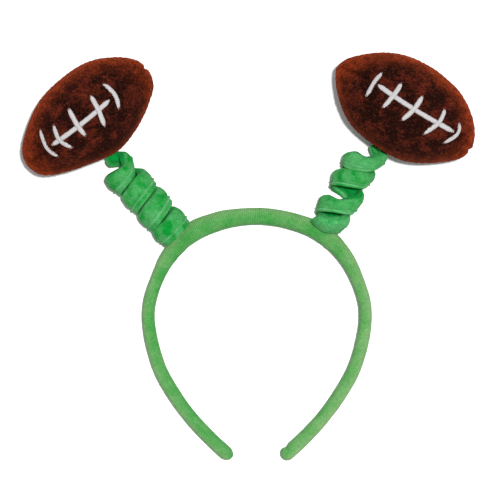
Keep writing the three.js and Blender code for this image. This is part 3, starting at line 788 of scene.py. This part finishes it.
def stuff(piece, seams):
    """Blows the cover up with a cloth simulation that holds its seams, and keeps the new shape."""
    start = points_of(piece)
    move_points(piece, start * STUFFING_SCALE)
    held = piece.vertex_groups.new(name="seams")
    held.add(seams, 1, "REPLACE")
    cloth = piece.modifiers.new("stuffing", "CLOTH")
    cloth.settings.vertex_group_mass = held.name
    cloth.settings.use_pressure = True
    cloth.settings.uniform_pressure_force = STUFFING_PRESSURE
    cloth.settings.tension_stiffness = 5
    cloth.settings.compression_stiffness = 5
    cloth.settings.shear_stiffness = 5
    cloth.settings.bending_stiffness = 0.1
    cloth.settings.effector_weights.gravity = 0
    scene = bpy.context.scene
    for step in range(STUFFING_STEPS):
        scene.frame_set(step + 1)
    swollen = piece.evaluated_get(bpy.context.evaluated_depsgraph_get())
    end = points_of(swollen) / STUFFING_SCALE
    piece.modifiers.remove(cloth)
    piece.vertex_groups.remove(held)
    move = end - start
    distance = np.linalg.norm(move, axis=1, keepdims=True)
    move = move * np.minimum(1, STUFFING_REACH / np.maximum(distance, 1e-9))
    move_points(piece, start + move)
    scene.frame_set(1)


def subdivide(piece, levels):
    modifier = piece.modifiers.new("finer", "SUBSURF")
    modifier.levels = levels
    finer = piece.evaluated_get(bpy.context.evaluated_depsgraph_get())
    mesh = bpy.data.meshes.new_from_object(finer)
    piece.modifiers.remove(modifier)
    piece.data = mesh
    mesh.shade_smooth()


# Lacing


def stitch_places(stitch, t):
    """A stitch's line on the ball, a smooth curve through its start, middle and end."""

    def through(start, middle, end):
        bend = 2 * middle - (start + end) / 2
        return start * (1 - t) ** 2 + 2 * bend * t * (1 - t) + end * t * t

    return (
        through(stitch.start_at, stitch.mid_at, stitch.end_at),
        through(stitch.start_across, stitch.mid_across, stitch.end_across),
    )


def stitch_line(ball, stitch, surface, t):
    """Points on the ball's front under a stitch."""
    at, across = stitch_places(stitch, t)
    above = ball.middle + np.outer(at * ball.half_length, ball.long)
    above = above + np.outer(across * ball.half_width, ball.cross)
    above[:, 2] = 100 * MM
    hits = [surface.ray_cast(Vector(point), Vector((0, 0, -1)))[0] for point in above]
    return np.array(hits)


def make_stitch(arm, name, stitch, surface, under=None):
    """A thread along a stitch's line. under is the stitch that this one crosses over."""
    ball = BallFrame(arm)
    length = np.linalg.norm(
        [
            (stitch.end_at - stitch.start_at) * BALL_LENGTH / 2,
            (stitch.end_across - stitch.start_across) * BALL_WIDTH / 2,
        ]
    )
    rows, sides = int(length / THREAD_PITCH * RINGS_PER_TWIST), 16
    t = np.linspace(0, 1, rows)
    line = stitch_line(ball, stitch, surface, t)
    tangent = unit(np.gradient(line, axis=0))
    outward = (line - ball.middle) / np.array([ball.half_width, ball.half_width, ball.half_thickness])
    side = unit(np.cross(tangent, unit(outward)))
    normal = np.cross(side, tangent)
    lift = np.zeros(rows)
    if under is not None:
        below = stitch_line(ball, under, surface, np.linspace(0, 1, 60))
        apart = np.linalg.norm(line[:, None] - below[None], axis=2).min(axis=1)
        lift = 0.6 * STITCH_HEIGHT * (1 - smoothstep(0.2 * STITCH_WIDTH, 2 * STITCH_WIDTH, apart))
    from_end = np.minimum(t, 1 - t) * length
    taper_length = min(STITCH_TAPER * length, THREAD_TAPER)
    taper = THREAD_END + (1 - THREAD_END) * smoothstep(0, taper_length, from_end)
    taper = taper * np.sqrt(np.clip(from_end / THREAD_ROUNDING, 0.04, 1))
    angle = 2 * math.pi * np.arange(sides) / sides
    distance = t * length
    slant = 0.35 * np.cos(angle)[None]
    twist = THREAD_TWIST_DEPTH * np.cos(2 * math.pi * (distance[:, None] / THREAD_PITCH + slant))
    fray = FRAY_DEPTH * bumps(line, FRAY_SIZE, 21 + arm.side)[:, None]
    half_width = STITCH_WIDTH / 2 * taper[:, None] + twist + fray
    high = np.where(np.sin(angle) > 0, STITCH_HEIGHT, 0.4 * STITCH_HEIGHT)
    height = high * taper[:, None] + twist
    sides_out = (half_width * np.cos(angle))[..., None] * side[:, None]
    ups = (lift[:, None] + height * np.sin(angle))[..., None] * normal[:, None]
    piece = loft(name, line[:, None] + sides_out + ups)
    towards_end = smoothstep(2.2 * MM, 0.2 * MM, from_end)[:, None]
    towards_edge = 0.55 * smoothstep(0.75, 1, np.abs(np.cos(angle)))[None]
    covered = np.maximum(towards_end, towards_edge).ravel()
    write_value(piece, "covered", np.append(covered, [1, 1]))
    return piece


# Materials

# The stage is lit until its white floor washes out, so the colours on it are this much darker.
TONE = 0.77

# Noise seldom leaves these ranges. The narrower one gives harder patches.
SOFT = (0.3, 0.7)
HARD = (0.35, 0.65)


def linear(red, green, blue):
    """A colour given as 0 to 255 screen values, as the renderer takes it."""
    shares = np.array([red, green, blue]) / 255
    low = shares / 12.92
    high = ((shares + 0.055) / 1.055) ** 2.4
    return (*(TONE * np.where(shares > 0.04045, high, low)), 1)


class Finish:
    """A material under construction, with short ways to add its nodes."""

    def __init__(self, name, roughness):
        self.material = bpy.data.materials.new(name)
        self.material.use_nodes = True
        self.tree = self.material.node_tree
        self.shader = self.tree.nodes["Principled BSDF"]
        self.shader.inputs["Roughness"].default_value = roughness
        self.place = self.add("ShaderNodeTexCoord").outputs["Object"]

    def add(self, kind, **settings):
        made = self.tree.nodes.new(kind)
        for name, value in settings.items():
            setattr(made, name, value)
        return made

    def link(self, source, socket):
        if hasattr(source, "is_output"):
            self.tree.links.new(source, socket)
        else:
            socket.default_value = source

    def noise(self, size, detail=2.0, stretch=None):
        """Noise in lumps of about that size, from 0 to 1. stretch is how far the noise is turned, in
        degrees, and how many times its lumps are drawn out along x."""
        place = self.place
        if stretch is not None:
            degrees, times = stretch
            mapping = self.add("ShaderNodeMapping")
            mapping.inputs["Rotation"].default_value = (0, 0, math.radians(degrees))
            mapping.inputs["Scale"].default_value = (1 / times, 1, 1)
            self.link(place, mapping.inputs["Vector"])
            place = mapping.outputs["Vector"]
        made = self.add("ShaderNodeTexNoise")
        made.inputs["Scale"].default_value = 1 / size
        made.inputs["Detail"].default_value = detail
        self.link(place, made.inputs["Vector"])
        return made.outputs["Fac"]

    def value(self, name):
        return self.add("ShaderNodeAttribute", attribute_name=name).outputs["Fac"]

    def maths(self, operation, first, second=0.0):
        made = self.add("ShaderNodeMath", operation=operation)
        self.link(first, made.inputs[0])
        self.link(second, made.inputs[1])
        return made.outputs[0]

    def spread(self, value, low, high, to_low=0.0, to_high=1.0):
        """Takes low to to_low and high to to_high, and stops there."""
        made = self.add("ShaderNodeMapRange")
        self.link(value, made.inputs["Value"])
        made.inputs["From Min"].default_value = low
        made.inputs["From Max"].default_value = high
        made.inputs["To Min"].default_value = to_low
        made.inputs["To Max"].default_value = to_high
        return made.outputs["Result"]

    def mix(self, share, first, second, blend="MIX"):
        made = self.add("ShaderNodeMix", data_type="RGBA", blend_type=blend)
        factor, first_colour, second_colour = made.inputs[0], made.inputs[6], made.inputs[7]
        self.link(share, factor)
        self.link(first, first_colour)
        self.link(second, second_colour)
        return made.outputs[2]

    def shade(self, colour, value, low, high):
        """Darkens or lightens a colour by a value from 0 to 1."""
        grey = self.add("ShaderNodeCombineColor")
        factor = self.spread(value, 0, 1, low, high)
        for channel in ("Red", "Green", "Blue"):
            self.link(factor, grey.inputs[channel])
        return self.mix(1.0, colour, grey.outputs["Color"], "MULTIPLY")

    def mottle(self, colour, noise, low, high):
        """Darkens and lightens a colour in the lumps of a noise."""
        return self.shade(colour, self.spread(noise, *SOFT), low, high)

    def colour(self, source):
        self.link(source, self.shader.inputs["Base Color"])

    def specular(self, level):
        self.shader.inputs["Specular IOR Level"].default_value = level

    def bump(self, height, depth, strength=1.0):
        made = self.add("ShaderNodeBump")
        made.inputs["Distance"].default_value = depth
        made.inputs["Strength"].default_value = strength
        self.link(height, made.inputs["Height"])
        self.link(made.outputs["Normal"], self.shader.inputs["Normal"])

    def sheen(self, weight, roughness, tint):
        self.shader.inputs["Sheen Weight"].default_value = weight
        self.shader.inputs["Sheen Roughness"].default_value = roughness
        self.shader.inputs["Sheen Tint"].default_value = tint


def band_velour():
    finish = Finish("band_velour", 0.95)
    shaded, green, pale_green = linear(60, 146, 64), linear(92, 156, 86), linear(130, 170, 112)
    colour = finish.mix(finish.spread(finish.noise(9 * MM, 4), *HARD), shaded, green)
    # Paler towards the outer side, a painted sheen, and on the right leg.
    paler = finish.spread(finish.noise(5 * MM, 4), *SOFT, 0.55, 1.05)
    paler = finish.maths("MULTIPLY", finish.value("paler"), paler)
    colour = finish.mix(paler, colour, pale_green)
    colour = finish.mottle(colour, finish.noise(1.6 * MM, 3), 0.88, 1.12)
    grain = finish.noise(0.5 * MM, 2)
    colour = finish.shade(colour, grain, 0.5, 1.5)
    phase = finish.maths("MULTIPLY", finish.value("rib_place"), 2 * math.pi / RIB_PITCH)
    ribs = finish.maths("MULTIPLY", finish.maths("SINE", phase), finish.value("ribbing"))
    colour = finish.shade(colour, finish.spread(ribs, -1, 1), 0.82, 1.18)
    finish.colour(colour)
    height = finish.maths("ADD", grain, finish.maths("MULTIPLY", ribs, 0.3))
    finish.bump(height, 0.25 * MM, 0.8)
    finish.specular(0.2)
    finish.sheen(0.1, 0.5, linear(200, 235, 195))
    return finish.material


def spring_velour():
    finish = Finish("spring_velour", 0.95)
    green, deep_green, inside_green = linear(68, 157, 85), linear(0, 138, 44), linear(0, 142, 56)
    edge_green, nap_and_highlight_green = linear(84, 188, 106), linear(124, 194, 140)
    # Deeper green in patches and as painted shade on the coils' left sides.
    patches = finish.spread(finish.noise(4 * MM, 3), *HARD, -0.4, 0.5)
    deeper = finish.spread(finish.maths("ADD", finish.value("deeper"), patches), 0, 1)
    colour = finish.mix(deeper, green, deep_green)
    # Painted shade on the coil's inside and in the hollow by the foot.
    colour = finish.mix(finish.value("inside"), colour, inside_green)
    # Painted highlight on the rolled upper edges.
    rolled = finish.maths("MULTIPLY", finish.value("rolled"), 0.34)
    colour = finish.mix(rolled, colour, edge_green)
    # Painted highlight on the ridge, the lip and the foot, partly the pile's paler nap, broken into patches.
    highlight_patches = finish.spread(finish.noise(2 * MM, 3), *HARD, 0.4, 1)
    nap_and_highlight = finish.maths("MULTIPLY", finish.value("nap_and_highlight"), highlight_patches)
    colour = finish.mix(nap_and_highlight, colour, nap_and_highlight_green)
    colour = finish.mottle(colour, finish.noise(1.4 * MM, 3), 0.86, 1.16)
    grain = finish.noise(0.6 * MM, 2)
    colour = finish.mottle(colour, grain, 0.8, 1.2)
    finish.colour(colour)
    finish.bump(grain, 0.3 * MM, 0.9)
    finish.specular(0.1)
    finish.sheen(0.08, 0.5, linear(185, 235, 190))
    return finish.material


def ball_plush():
    finish = Finish("ball_plush", 1)
    dark_brown, brown, sheen_brown = linear(29, 9, 6), linear(79, 28, 16), linear(145, 52, 17)
    seam_brown, speck_brown = linear(20, 6, 4), linear(146, 66, 32)
    streaks = finish.noise(1.5 * MM, 3, stretch=(35, 2))
    wide = finish.maths("ADD", finish.noise(8 * MM, 5), finish.maths("MULTIPLY", streaks, 0.5))
    colour = finish.mix(finish.spread(wide, 0.7, 0.93), dark_brown, brown)
    # Painted sheen round the ball's sides, broken into patches.
    painted_rim_sheen = finish.spread(finish.noise(4 * MM, 4), *HARD, 0.4, 1)
    painted_rim_sheen = finish.maths("MULTIPLY", finish.value("painted_rim_sheen"), painted_rim_sheen)
    colour = finish.mix(painted_rim_sheen, colour, sheen_brown)
    seam = finish.maths("MULTIPLY", finish.value("seam"), 0.55)
    colour = finish.mix(seam, colour, seam_brown)
    colour = finish.mottle(colour, finish.noise(1.3 * MM, 3), 0.45, 1.6)
    grain = finish.noise(0.7 * MM, 2)
    colour = finish.mottle(colour, grain, 0.55, 1.45)
    specks = finish.spread(finish.noise(0.9 * MM, 2), 0.6, 0.76, 0, 0.45)
    colour = finish.mix(specks, colour, speck_brown)
    finish.colour(colour)
    finish.bump(grain, 0.5 * MM, 0.9)
    finish.specular(0.05)
    finish.sheen(0.16, 0.4, linear(225, 95, 40))
    return finish.material


def lace_thread():
    finish = Finish("lace_thread", 0.7)
    white, plush_brown = linear(196, 193, 194), linear(84, 40, 28)
    grain = finish.noise(0.4 * MM, 2)
    colour = finish.shade(white, grain, 0.85, 1.08)
    tufts = finish.spread(finish.noise(0.6 * MM, 3), *HARD, -0.5, 0.5)
    covered = finish.spread(finish.maths("ADD", finish.value("covered"), tufts), 0.35, 0.75)
    colour = finish.mix(covered, colour, plush_brown)
    finish.colour(colour)
    finish.bump(grain, 0.1 * MM, 0.5)
    finish.sheen(0.1, 0.4, linear(255, 255, 255))
    return finish.material


def studio_white():
    finish = Finish("studio_white", 1)
    finish.colour((0.9, 0.9, 0.9, 1))
    return finish.material


# Stage, lights and camera

VIEW_MIDDLE = Vector((0.88 * MM, 3.93 * MM, 20 * MM))
VIEW_WIDTH = 290 * MM
VIEW_DISTANCE = 5
SENSOR_WIDTH = 36
FLOOR_REACH = 4
SKY_STRENGTH = 0.4
KEY_STRENGTH = 4.2
KEY_ANGLE = math.radians(4)
KEY_TOWARDS = Vector((0.095, 0.055, 1))


def make_stage():
    corners = [(x * FLOOR_REACH, y * FLOOR_REACH, 0) for x, y in ((-1, -1), (1, -1), (1, 1), (-1, 1))]
    floor = mesh_piece("floor", corners, [(0, 1, 2, 3)])
    floor.data.materials.append(studio_white())
    world = bpy.data.worlds.new("studio")
    world.use_nodes = True
    background = world.node_tree.nodes["Background"]
    background.inputs["Color"].default_value = (1, 1, 1, 1)
    background.inputs["Strength"].default_value = SKY_STRENGTH
    bpy.context.scene.world = world
    bpy.context.scene.view_settings.view_transform = "Standard"


def make_key_light():
    light = bpy.data.lights.new("key", "SUN")
    light.energy = KEY_STRENGTH
    light.angle = KEY_ANGLE
    key = bpy.data.objects.new("key", light)
    bpy.context.scene.collection.objects.link(key)
    key.rotation_euler = KEY_TOWARDS.to_track_quat("Z", "Y").to_euler()


def make_camera():
    data = bpy.data.cameras.new("camera")
    data.sensor_width = SENSOR_WIDTH
    data.lens = SENSOR_WIDTH * VIEW_DISTANCE / VIEW_WIDTH
    camera = bpy.data.objects.new("camera", data)
    bpy.context.scene.collection.objects.link(camera)
    camera.location = VIEW_MIDDLE + Vector((0, 0, VIEW_DISTANCE))
    bpy.context.scene.camera = camera


# Assembly


def dress(piece, material, slot, *nodes):
    piece.data.materials.append(material)
    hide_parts(*nodes)
    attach(piece, "root")


def build():
    make_stage()
    make_key_light()
    make_camera()
    band = make_band()
    dress(band, band_velour(), "band_velour", "headband")
    sleeve_finish, ball_finish, thread_finish = spring_velour(), ball_plush(), lace_thread()
    for arm in ARMS:
        ball, unsewn = make_ball(arm)
        dress(ball, ball_finish, "ball_plush", f"{arm.name}_ball")
        spring = make_spring(arm, [surface_of(ball), surface_of(band)])
        dress(spring, sleeve_finish, "spring_velour", f"{arm.name}_spring")
        spine = make_stitch(arm, f"{arm.name}_thread_spine", arm.spine, unsewn)
        dress(spine, thread_finish, "lace_thread", f"{arm.name}_lace_spine")
        for i, stitch in enumerate(arm.crosses, 1):
            cross = make_stitch(arm, f"{arm.name}_thread_cross_{i}", stitch, unsewn, arm.spine)
            dress(cross, thread_finish, "lace_thread", f"{arm.name}_lace_cross_{i}")


build()
